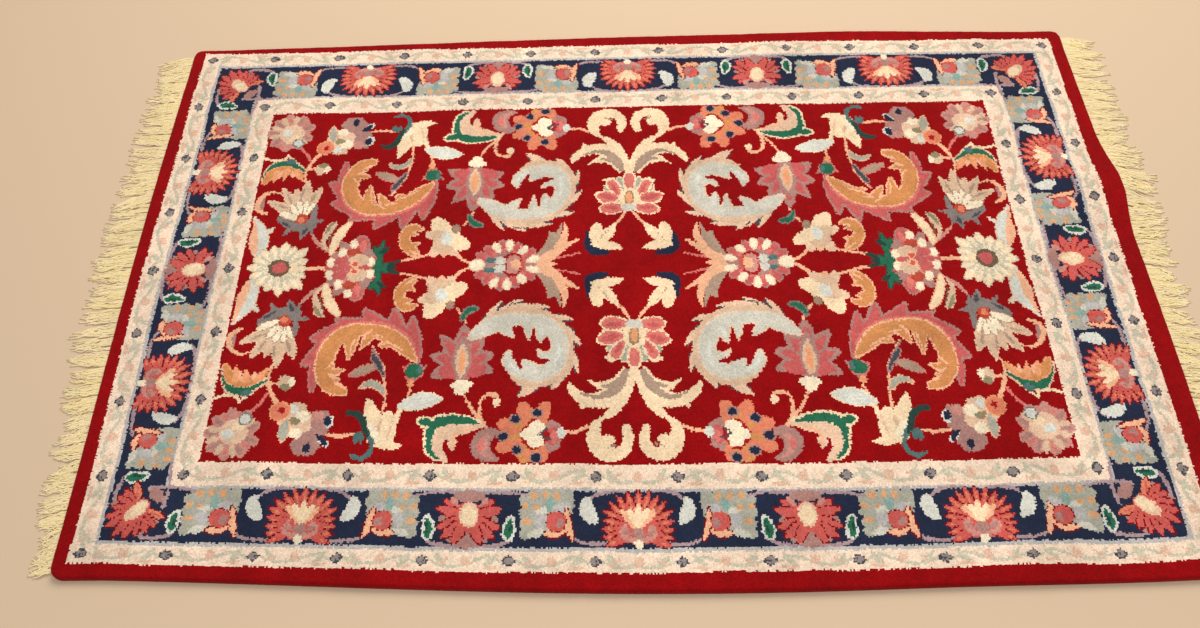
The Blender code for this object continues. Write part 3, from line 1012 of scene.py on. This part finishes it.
def chart_places(x, y):
    """Chart millimetres of places on the cloth: the design bows and wobbles with it."""
    x_mm, y_mm = x / MM, y / MM
    top = edge_place(1, 1, x) / MM - HALF_WIDTH / MM
    bottom = edge_place(1, -1, x) / MM - HALF_WIDTH / MM
    right = edge_place(0, 1, y) / MM - HALF_LENGTH / MM
    left = edge_place(0, -1, y) / MM - HALF_LENGTH / MM
    y_bow = np.where(y > 0, BOW_SHARES["top"] * top, -BOW_SHARES["bottom"] * bottom)
    x_bow = np.where(x > 0, BOW_SHARES["right"] * right, -BOW_SHARES["left"] * left)
    y_mm = y_mm - y_bow * np.abs(y_mm) / BOW_FULL_WIDTH - DESIGN_RISE
    x_mm = x_mm - x_bow * (x_mm / BOW_FULL_LENGTH) ** 2
    y_mm = y_mm - np.interp(-y_mm, NARROW_GUARD_PLACE, (0.0, NARROW_GUARD_BY))
    for cell, reach, seed in LINE_WOBBLES:
        x_mm = x_mm + reach * value_noise(x / MM, y / MM, cell, seed)
        y_mm = y_mm + reach * value_noise(x / MM, y / MM, cell, seed + 50)
    return x_mm, y_mm


def yarn_numbers(x, y):
    """The yarn of the tufts at places on the cloth."""
    x_mm, y_mm = chart_places(x, y)
    column = np.clip(np.abs(x_mm).astype(int), 0, CHART_LENGTH - 1)
    row = np.clip(np.abs(y_mm).astype(int), 0, CHART_WIDTH - 1)
    return chart[row, column]


def linear(colour):
    """Linear red, green, blue of 0 to 255 values."""
    share = np.array(colour, float) / 255
    return np.where(share <= 0.04045, share / 12.92, ((share + 0.055) / 1.055) ** 2.4)


def stations(half_size):
    """Places of the grid's lines across the plain rectangle, closer together at the rim."""
    inner = half_size - RIM_STEPS[-1]
    count = round(2 * inner / TUFT_PITCH)
    rim = [half_size - step for step in RIM_STEPS[:-1]]
    return np.array([-place for place in rim] + list(np.linspace(-inner, inner, count + 1))
                    + rim[::-1])


def pile_surface():
    """Points of the pile's top as rows by columns, and the yarn colour of each tuft."""
    column, row = np.meshgrid(stations(HALF_LENGTH), stations(HALF_WIDTH))
    x, y, depth = cloth_places(column, row)
    rng = np.random.default_rng(5)
    loose = (depth > RIM_STEPS[-1]) * TUFT_SCATTER
    x = x + loose * rng.uniform(-1, 1, x.shape)
    y = y + loose * rng.uniform(-1, 1, x.shape)
    tuft_x = 0.25 * (x[1:, 1:] + x[1:, :-1] + x[:-1, 1:] + x[:-1, :-1])
    tuft_y = 0.25 * (y[1:, 1:] + y[1:, :-1] + y[:-1, 1:] + y[:-1, :-1])
    yarn = yarn_numbers(tuft_x + YARN_STRAY * rng.uniform(-1, 1, tuft_x.shape),
                        tuft_y + YARN_STRAY * rng.uniform(-1, 1, tuft_y.shape))
    over = RIM_ROUNDING - np.minimum(depth, RIM_ROUNDING)
    height = RUG_THICKNESS + ripple_lift(x, y)
    height -= RIM_ROUNDING - np.sqrt(RIM_ROUNDING ** 2 - over ** 2)
    height += sum(rise * value_noise(x, y, wave, seed) for rise, wave, seed in PILE_WAVES)
    height += rng.uniform(*TUFT_HEIGHTS, x.shape)
    change = np.zeros(x.shape)
    change[1:-1, 1:-1] = (yarn[1:, 1:] != yarn[:-1, :-1]) | (yarn[1:, :-1] != yarn[:-1, 1:])
    height -= YARN_LINE_DEPTH * change
    palette = np.array([linear(YARNS[name]) for name in YARN_NAMES])
    colour = palette[yarn] * rng.uniform(*TUFT_SHADES, yarn.shape)[..., None]
    points = np.stack([x + MIDDLE.x, y + MIDDLE.y, height], -1)
    return points, colour


def surface_normals(points):
    """Unit normals of a grid of points, so that neighbouring blocks shade alike at their seam."""
    normals = np.cross(np.gradient(points, axis=1), np.gradient(points, axis=0))
    return normals / np.linalg.norm(normals, axis=-1, keepdims=True)


def block_edge(rows, columns, outer):
    """Row and column of each point round a block of pile, and whether it lies on the rug's rim.

    The points run counter-clockwise. outer says which of the block's bottom, right, top and left
    sides are the rug's own.
    """
    bottom = [(0, column) for column in range(columns)]
    right = [(row, columns - 1) for row in range(1, rows)]
    top = [(rows - 1, column) for column in range(columns - 2, -1, -1)]
    left = [(row, 0) for row in range(rows - 2, 0, -1)]
    row, column = np.array(bottom + right + top + left).T
    sides = (row == 0, column == columns - 1, row == rows - 1, column == 0)
    at_rim = np.any([side & is_outer for side, is_outer in zip(sides, outer)], axis=0)
    return row, column, at_rim


def wall_rows(top, at_rim, middle):
    """Rows of points from a block's upper edge down to its foot, uneven at the rug's rim."""
    lift = ripple_lift(top[:, 0] - MIDDLE.x, top[:, 1] - MIDDLE.y)
    foot = lift + np.where(at_rim, RIM_FLOOR_GAP, PILE_FOOT)
    outward = np.sign(top[:, :2] - middle[:2])
    rng = np.random.default_rng(31)
    rows = []
    for step in range(1, SKIRT_ROWS + 1):
        bulge = at_rim * rng.uniform(*WALL_BULGES, len(top)) * (step < SKIRT_ROWS)
        lower = top.copy()
        lower[:, :2] += outward * bulge[:, None]
        lower[:, 2] += (foot - top[:, 2]) * step / SKIRT_ROWS
        rows.append(lower)
    return rows


SKIN_MARGIN = 0.03
SKIN_FOLD = 0.009


def flat_layout(pile, walls):
    """Places on the skin's image: the pile as seen from above, its walls folded out round it."""
    low, high = pile[:, :2].min(0), pile[:, :2].max(0)
    parts = []
    for fold, points in enumerate([pile] + walls):
        part = SKIN_MARGIN + (1 - 2 * SKIN_MARGIN) * (points[:, :2] - low) / (high - low)
        parts.append(part + np.sign(part - 0.5) * SKIN_FOLD * fold)
    return np.vstack(parts)


def mesh_from_arrays(name, points, faces, colours, sheet_places):
    """A mesh from lists of equal-sided faces, with a colour a face and a flat layout for its skin."""
    mesh = bpy.data.meshes.new(name)
    corners = np.concatenate([part.ravel() for part in faces])
    sizes = np.concatenate([np.full(len(part), part.shape[1]) for part in faces])
    mesh.vertices.add(len(points))
    mesh.vertices.foreach_set("co", np.asarray(points, np.float32).ravel())
    mesh.loops.add(len(corners))
    mesh.loops.foreach_set("vertex_index", corners.astype(np.int32))
    mesh.polygons.add(len(sizes))
    starts = np.concatenate([[0], np.cumsum(sizes)[:-1]])
    mesh.polygons.foreach_set("loop_start", starts.astype(np.int32))
    mesh.update(calc_edges=True)
    yarn = mesh.attributes.new("yarn", "FLOAT_COLOR", "FACE")
    opaque = np.hstack([colours, np.ones((len(colours), 1))])
    yarn.data.foreach_set("color", opaque.astype(np.float32).ravel())
    layout = mesh.uv_layers.new(name="OFBake")
    layout.data.foreach_set("uv", sheet_places[corners].astype(np.float32).ravel())
    mesh.validate()
    return mesh


def pile_block(name, points, normals, colour, outer):
    """One closed block of pile, from its points and normals by row and column."""
    rows, columns = points.shape[:2]
    number = np.arange(rows * columns).reshape(rows, columns)
    quads = np.stack([number[:-1, :-1], number[:-1, 1:], number[1:, 1:], number[1:, :-1]], -1)
    row, column, at_rim = block_edge(rows, columns, outer)
    pile = points.reshape(-1, 3)
    walls = wall_rows(points[row, column], at_rim, pile.mean(0))
    faces = [quads.reshape(-1, 4)]
    before = number[row, column]
    for step in range(SKIRT_ROWS):
        after = len(pile) + step * len(row) + np.arange(len(row))
        faces.append(np.stack([before, after, np.roll(after, -1), np.roll(before, -1)], -1))
        before = after
    underside = before[::-1][None, :]
    edge_colour = colour[np.minimum(row, rows - 2), np.minimum(column, columns - 2)]
    # The walls' colours carry painted shade, darker than the tufts above them
    colours = np.vstack([colour.reshape(-1, 3)] + [WALL_PAINTED_SHADE * edge_colour] * SKIRT_ROWS
                        + [edge_colour[:1]])
    mesh = mesh_from_arrays(name, np.vstack([pile] + walls), faces + [underside], colours,
                            flat_layout(pile, walls))
    shared = np.zeros((len(mesh.vertices), 3))
    seam_row, seam_column = row[~at_rim], column[~at_rim]
    shared[number[seam_row, seam_column]] = normals[seam_row, seam_column]
    mesh.normals_split_custom_set_from_vertices(shared)
    block = bpy.data.objects.new(name, mesh)
    bpy.context.collection.objects.link(block)
    return block


# Materials


def new_material(name, roughness, sheen):
    """A soft, dull material, with its node tree and its shader."""
    material = bpy.data.materials.new(name)
    material.use_nodes = True
    shader = material.node_tree.nodes["Principled BSDF"]
    shader.inputs["Roughness"].default_value = roughness
    shader.inputs["Sheen Weight"].default_value = sheen
    shader.inputs["Sheen Roughness"].default_value = 0.5
    shader.inputs["Specular IOR Level"].default_value = 0.08
    return material, material.node_tree, shader


def noise_node(tree, places, scale, detail=2.0):
    """Soft noise over the object's places, finer where the scale is larger."""
    node = tree.nodes.new("ShaderNodeTexNoise")
    node.inputs["Scale"].default_value = scale
    node.inputs["Detail"].default_value = detail
    tree.links.new(places, node.inputs["Vector"])
    return node.outputs["Fac"]


def ranged(tree, value, low, high):
    """A noise value, which is mostly from 0.3 to 0.7, stretched to run from low to high."""
    node = tree.nodes.new("ShaderNodeMapRange")
    node.inputs["From Min"].default_value = 0.3
    node.inputs["From Max"].default_value = 0.7
    node.inputs["To Min"].default_value = low
    node.inputs["To Max"].default_value = high
    tree.links.new(value, node.inputs["Value"])
    return node.outputs["Result"]


def times(tree, first, second):
    """The product of two numbers."""
    node = tree.nodes.new("ShaderNodeMath")
    node.operation = "MULTIPLY"
    tree.links.new(first, node.inputs[0])
    tree.links.new(second, node.inputs[1])
    return node.outputs["Value"]


def shaded(tree, colour, shade):
    """A colour made lighter or darker by a number."""
    node = tree.nodes.new("ShaderNodeVectorMath")
    node.operation = "SCALE"
    tree.links.new(colour, node.inputs[0])
    tree.links.new(shade, node.inputs["Scale"])
    return node.outputs["Vector"]


def add_bump(tree, shader, height, distance, strength):
    node = tree.nodes.new("ShaderNodeBump")
    node.inputs["Distance"].default_value = distance
    node.inputs["Strength"].default_value = strength
    tree.links.new(height, node.inputs["Height"])
    tree.links.new(node.outputs["Normal"], shader.inputs["Normal"])


def object_places(tree):
    return tree.nodes.new("ShaderNodeTexCoord").outputs["Object"]


def yarn_colour(tree):
    """The colour that each face of the mesh carries."""
    node = tree.nodes.new("ShaderNodeAttribute")
    node.attribute_name = "yarn"
    return node.outputs["Color"]


def wool_material():
    """Cut wool: painted sheen and shade in soft clouds where the pile leans, and fine tuft ends with
    painted shade between them.
    """
    material, tree, shader = new_material("cut_wool", roughness=0.95, sheen=0.03)
    places = object_places(tree)
    # Painted sheen and shade: the colour lighter and darker in soft clouds, as leaning pile catches
    # the light
    large_lean_sheen = ranged(tree, noise_node(tree, places, scale=7.0), 0.88, 1.10)
    small_lean_sheen = ranged(tree, noise_node(tree, places, scale=38.0, detail=3.0), 0.90, 1.10)
    clouds = times(tree, large_lean_sheen, small_lean_sheen)
    ends = noise_node(tree, places, scale=520.0)
    # Painted shade: the colour darker between the fine tuft ends and lighter at their tips; the same
    # noise also gives the bumps
    shade = times(tree, clouds, ranged(tree, ends, 0.82, 1.14))
    tree.links.new(shaded(tree, yarn_colour(tree), shade), shader.inputs["Base Color"])
    add_bump(tree, shader, ends, distance=0.0012, strength=0.55)
    return material


def cotton_material():
    """Loose cotton yarn, yellowed in places."""
    material, tree, shader = new_material("fringe_cotton", roughness=0.9, sheen=0.5)
    places = object_places(tree)
    clouds = ranged(tree, noise_node(tree, places, scale=14.0), 0.96, 1.05)
    fibres = noise_node(tree, places, scale=900.0)
    shade = times(tree, clouds, ranged(tree, fibres, 0.93, 1.08))
    tree.links.new(shaded(tree, yarn_colour(tree), shade), shader.inputs["Base Color"])
    add_bump(tree, shader, fibres, distance=0.0005, strength=0.5)
    return material


CANVAS_COLOUR = (214, 196, 164)
CANVAS_THREADS = 95.0
CANVAS_UNEVENNESS = 0.6


def canvas_material():
    """Plain-woven cotton canvas of the underside."""
    material, tree, shader = new_material("backing_canvas", roughness=0.9, sheen=0.1)
    places = object_places(tree)
    threads = []
    for direction in ("X", "Y"):
        wave = tree.nodes.new("ShaderNodeTexWave")
        wave.bands_direction = direction
        wave.inputs["Scale"].default_value = CANVAS_THREADS
        wave.inputs["Distortion"].default_value = CANVAS_UNEVENNESS
        tree.links.new(places, wave.inputs["Vector"])
        threads.append(wave.outputs["Fac"])
    weave = times(tree, *threads)
    tint = tree.nodes.new("ShaderNodeRGB")
    tint.outputs[0].default_value = (*linear(CANVAS_COLOUR), 1.0)
    clouds = ranged(tree, noise_node(tree, places, scale=6.0), 0.92, 1.05)
    shade = times(tree, ranged(tree, weave, 0.86, 1.04), clouds)
    tree.links.new(shaded(tree, tint.outputs[0], shade), shader.inputs["Base Color"])
    add_bump(tree, shader, weave, distance=0.0006, strength=0.6)
    return material


# The rug's pieces


def build_pile(material):
    """Blocks of pile, side by side."""
    points, colour = pile_surface()
    normals = surface_normals(points)
    row_cuts = np.linspace(0, points.shape[0] - 1, BLOCK_ROWS + 1).astype(int)
    column_cuts = np.linspace(0, points.shape[1] - 1, BLOCK_COLUMNS + 1).astype(int)
    blocks = []
    for row in range(BLOCK_ROWS):
        for column in range(BLOCK_COLUMNS):
            bottom, top = row_cuts[row], row_cuts[row + 1]
            left, right = column_cuts[column], column_cuts[column + 1]
            part = slice(bottom, top + 1), slice(left, right + 1)
            outer = (row == 0, column == BLOCK_COLUMNS - 1, row == BLOCK_ROWS - 1, column == 0)
            block = pile_block(f"pile_{row}_{column}", points[part], normals[part],
                               colour[bottom:top, left:right], outer)
            block.data.materials.append(material)
            blocks.append(block)
    return blocks


BACKING_INSET = 0.006
BACKING_THICKNESS = 0.0022
BACKING_STEPS = 48


def build_backing(material):
    """The canvas under the pile: one thin closed sheet on the solid's underside."""
    sheet = bmesh.new()
    bmesh.ops.create_grid(sheet, x_segments=BACKING_STEPS, y_segments=BACKING_STEPS // 2, size=1.0)
    for vertex in sheet.verts:
        x, y, _ = cloth_places(vertex.co.x * (HALF_LENGTH - BACKING_INSET),
                               vertex.co.y * (HALF_WIDTH - BACKING_INSET))
        vertex.co = Vector((float(x), float(y), float(ripple_lift(x, y)))) + MIDDLE
    mesh = bpy.data.meshes.new("backing")
    sheet.to_mesh(mesh)
    sheet.free()
    piece = bpy.data.objects.new("backing", mesh)
    bpy.context.collection.objects.link(piece)
    solid = piece.modifiers.new("thickness", "SOLIDIFY")
    solid.thickness = BACKING_THICKNESS
    solid.offset = 1.0
    mesh.materials.append(material)
    return piece


# Fringe: the locks of the solid, each shown as a few yarns

LOCK_COUNT = 140
FRINGE_MARGIN = 0.012
LOCK_LENGTH = 0.076
LOCK_LENGTH_CHANGE = 0.014
LOCK_LEANS = ((0.022, 8.0), (0.006, 27.0))
BUNCH_PITCH = 0.030
BUNCH_PULL = 0.50
YARNS_A_LOCK = 8
YARN_STEPS = 12
YARN_SIDES = 4
YARN_RADIUS = 0.0013
YARN_LEAN = -0.008
ROOT_RISE = 0.0012
FULL_TURN = 6.28
FRINGE_TINT = (255, 237, 190)

# How the yarns of a lock differ, as the lowest and highest of each
YARN_LENGTHS = (0.68, 1.06)
YARN_ASIDES = (-0.0035, 0.0035)
YARN_CURLS = (0.0005, 0.0032)
CURL_TURNS = (1.0, 2.6)
YARN_RISES = (0.0, 0.0026)
BUNCH_STRAYS = (-0.005, 0.005)
YARN_BRIGHTNESSES = (0.97, 1.08)
YARN_BLUES = (0.82, 1.1)

# Share of the full length that the yarns reach, at places along each short edge
YARN_REACH_PLACES = (-0.60, -0.50, -0.42, -0.30, -0.20, 0.00, 0.30, 0.60)
LEFT_YARN_REACH = (0.45, 0.52, 0.72, 0.65, 0.92, 1.00, 0.98, 0.90)
RIGHT_YARN_REACH = (0.85, 0.80, 0.75, 0.75, 0.75, 0.82, 0.95, 1.00)
RAGGEDNESS = 0.3


def lock_lean(root, fraction):
    """Sideways shift of a lock: smooth along the edge, so that neighbours never cross."""
    lean = sum(reach * noise.noise(Vector((root.y * changes, root.x, 0.0)))
               for reach, changes in LOCK_LEANS)
    return lean * fraction ** 1.5


def yarn_path(root, side, rng):
    """One yarn of a lock: out from under the rim, then down on the floor in a loose curve."""
    change = noise.noise(Vector((root.y * 60.0, root.x, 5.0)))
    ragged = noise.noise(Vector((root.y * 22.0, root.x, 3.0)))
    reach = np.interp(root.y, YARN_REACH_PLACES,
                      LEFT_YARN_REACH if side < 0 else RIGHT_YARN_REACH)
    length = LOCK_LENGTH + LOCK_LENGTH_CHANGE * change
    length *= min(1.0, reach + RAGGEDNESS * ragged) * rng.uniform(*YARN_LENGTHS)
    aside = rng.uniform(*YARN_ASIDES)
    curl = rng.uniform(*YARN_CURLS)
    turns = rng.uniform(*CURL_TURNS)
    phase = rng.uniform(0, FULL_TURN)
    rise = rng.uniform(*YARN_RISES)
    bunch = BUNCH_PITCH * (noise.noise(Vector((root.y * 30.0, root.x, 9.0))) * 0.5
                           + round(root.y / BUNCH_PITCH))
    to_bunch = BUNCH_PULL * (bunch - root.y) + rng.uniform(*BUNCH_STRAYS)
    path = []
    for step in range(YARN_STEPS + 1):
        fraction = step / YARN_STEPS
        sway = curl * math.sin(phase + FULL_TURN * turns * fraction) * min(1.0, 3 * fraction)
        height = root.z * (1 - fraction) ** 2 + YARN_RADIUS + ROOT_RISE * (1 - fraction) ** 3
        path.append(Vector((root.x + side * length * fraction,
                            root.y + lock_lean(root, fraction) + aside + YARN_LEAN * fraction
                            + to_bunch * fraction ** 1.5 + sway,
                            height + rise * math.sin(math.pi * min(1.0, fraction * 1.2)))))
    return path


def tube_rings(path):
    """Rings of points round a path, thinner at its far end."""
    rings = []
    for step, point in enumerate(path):
        run = (path[min(step + 1, len(path) - 1)] - path[max(step - 1, 0)]).normalized()
        aside = run.cross(Vector((0, 0, 1))).normalized()
        upward = aside.cross(run)
        radius = YARN_RADIUS * (1.0 - 0.35 * (step / (len(path) - 1)) ** 2)
        for corner in range(YARN_SIDES):
            angle = 2 * math.pi * (corner + 0.5) / YARN_SIDES
            rings.append(point + radius * (math.cos(angle) * aside + math.sin(angle) * upward))
    return rings


def build_fringe(name, side, material):
    """All yarns of one short edge as a joined mesh."""
    rng = np.random.default_rng(70 + side)
    start = FRINGE_MARGIN - float(edge_place(1, -1, side * HALF_LENGTH))
    end = float(edge_place(1, 1, side * HALF_LENGTH)) - FRINGE_MARGIN
    pitch = (end - start) / LOCK_COUNT
    points, walls, caps, colours, cap_colours = [], [], [], [], []
    tint = linear(FRINGE_TINT)
    for lock in range(LOCK_COUNT):
        y = start + (lock + 0.5) * pitch
        x = side * float(edge_place(0, side, y))
        root = Vector((x, y, float(ripple_lift(x, y))))
        for _ in range(YARNS_A_LOCK):
            first = len(points)
            points += tube_rings(yarn_path(root, side, rng))
            shade = tint * rng.uniform(*YARN_BRIGHTNESSES)
            shade = shade * np.array((1, 1, rng.uniform(*YARN_BLUES)))
            for step in range(YARN_STEPS):
                for corner in range(YARN_SIDES):
                    a = first + step * YARN_SIDES + corner
                    b = first + step * YARN_SIDES + (corner + 1) % YARN_SIDES
                    walls.append((a, b, b + YARN_SIDES, a + YARN_SIDES))
                    colours.append(shade)
            last = first + YARN_STEPS * YARN_SIDES
            caps.append([first + corner for corner in reversed(range(YARN_SIDES))])
            caps.append([last + corner for corner in range(YARN_SIDES)])
            cap_colours += [shade, shade]
    points = np.array([point + MIDDLE for point in points])
    low, high = points.min(0), points.max(0)
    flat = (points[:, :2] - low[:2]) / (high - low)[:2]
    mesh = mesh_from_arrays(name, points, [np.array(walls), np.array(caps)],
                            np.array(colours + cap_colours), flat)
    mesh.shade_smooth()
    mesh.materials.append(material)
    piece = bpy.data.objects.new(name, mesh)
    bpy.context.collection.objects.link(piece)
    return piece


# Floor, light and camera

FLOOR_SIZE = 30.0
FLOOR_COLOUR = (223, 200, 173)
ROOM_COLOUR = (1.0, 0.95, 0.89, 1.0)
ROOM_STRENGTH = 0.39
AREA_LIGHTS = (
    # name, place, target, diameter, power, colour
    ("far_window", (0.4, 2.1, 2.8), (0.1, 0.6, 0.0), 2.6, 89.0, (1.0, 0.915, 0.81)),
    ("near_fill", (0.1, -1.8, 2.6), (0.0, -0.5, 0.0), 2.4, 24.0, (1.0, 0.98, 0.95)),
)
LENS = 31.5
SENSOR_WIDTH = 36.0
CAMERA_PLACE = Vector((-0.0356, -1.1219, 1.591))
CAMERA_YAW = 0.0237
CAMERA_PITCH = 1.0
CAMERA_ROLL = -0.0341


def build_floor():
    """The plain pale floor under the rug."""
    bpy.ops.mesh.primitive_plane_add(size=FLOOR_SIZE, location=(0, 0, 0))
    floor = bpy.context.object
    floor.name = "floor"
    material, _, shader = new_material("pale_floor", 0.95, 0.0)
    shader.inputs["Base Color"].default_value = (*linear(FLOOR_COLOUR), 1.0)
    floor.data.materials.append(material)


def add_area_light(name, place, target, diameter, power, colour):
    light = bpy.data.lights.new(name, "AREA")
    light.shape = "DISK"
    light.size = diameter
    light.energy = power
    light.color = colour
    lamp = bpy.data.objects.new(name, light)
    lamp.location = place
    lamp.rotation_euler = (Vector(target) - Vector(place)).to_track_quat("-Z", "Y").to_euler()
    bpy.context.collection.objects.link(lamp)


def build_light():
    """Soft warm room light from above, stronger over the far edge."""
    world = bpy.data.worlds.new("room")
    world.use_nodes = True
    background = world.node_tree.nodes["Background"]
    background.inputs["Color"].default_value = ROOM_COLOUR
    background.inputs["Strength"].default_value = ROOM_STRENGTH
    bpy.context.scene.world = world
    for light in AREA_LIGHTS:
        add_area_light(*light)


def build_camera():
    """The camera of the photograph: held by a standing person, turned and rolled a little."""
    camera_data = bpy.data.cameras.new("camera")
    camera_data.lens = LENS
    camera_data.sensor_width = SENSOR_WIDTH
    camera = bpy.data.objects.new("camera", camera_data)
    forward = Vector((0, math.cos(CAMERA_PITCH), -math.sin(CAMERA_PITCH)))
    upward = Vector((0, math.sin(CAMERA_PITCH), math.cos(CAMERA_PITCH)))
    right = Vector((1, 0, 0))
    rolled_right = math.cos(CAMERA_ROLL) * right + math.sin(CAMERA_ROLL) * upward
    rolled_up = math.cos(CAMERA_ROLL) * upward - math.sin(CAMERA_ROLL) * right
    axes = Matrix((rolled_right, rolled_up, -forward)).transposed()
    turn = Matrix.Rotation(CAMERA_YAW, 3, "Z") @ axes
    camera.matrix_world = Matrix.Translation(CAMERA_PLACE + MIDDLE) @ turn.to_4x4()
    bpy.context.collection.objects.link(camera)
    bpy.context.scene.camera = camera


def main():
    bpy.context.scene.view_settings.view_transform = "Standard"
    build_camera()
    build_floor()
    build_light()
    draw_design()
    blocks = build_pile(wool_material())
    backing = build_backing(canvas_material())
    cotton = cotton_material()
    fringes = [build_fringe("yarns_left", -1, cotton), build_fringe("yarns_right", 1, cotton)]
    for piece in blocks + [backing] + fringes:
        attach(piece, "root")
    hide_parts("rug")
    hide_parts("fringe_left")
    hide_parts("fringe_right")


main()
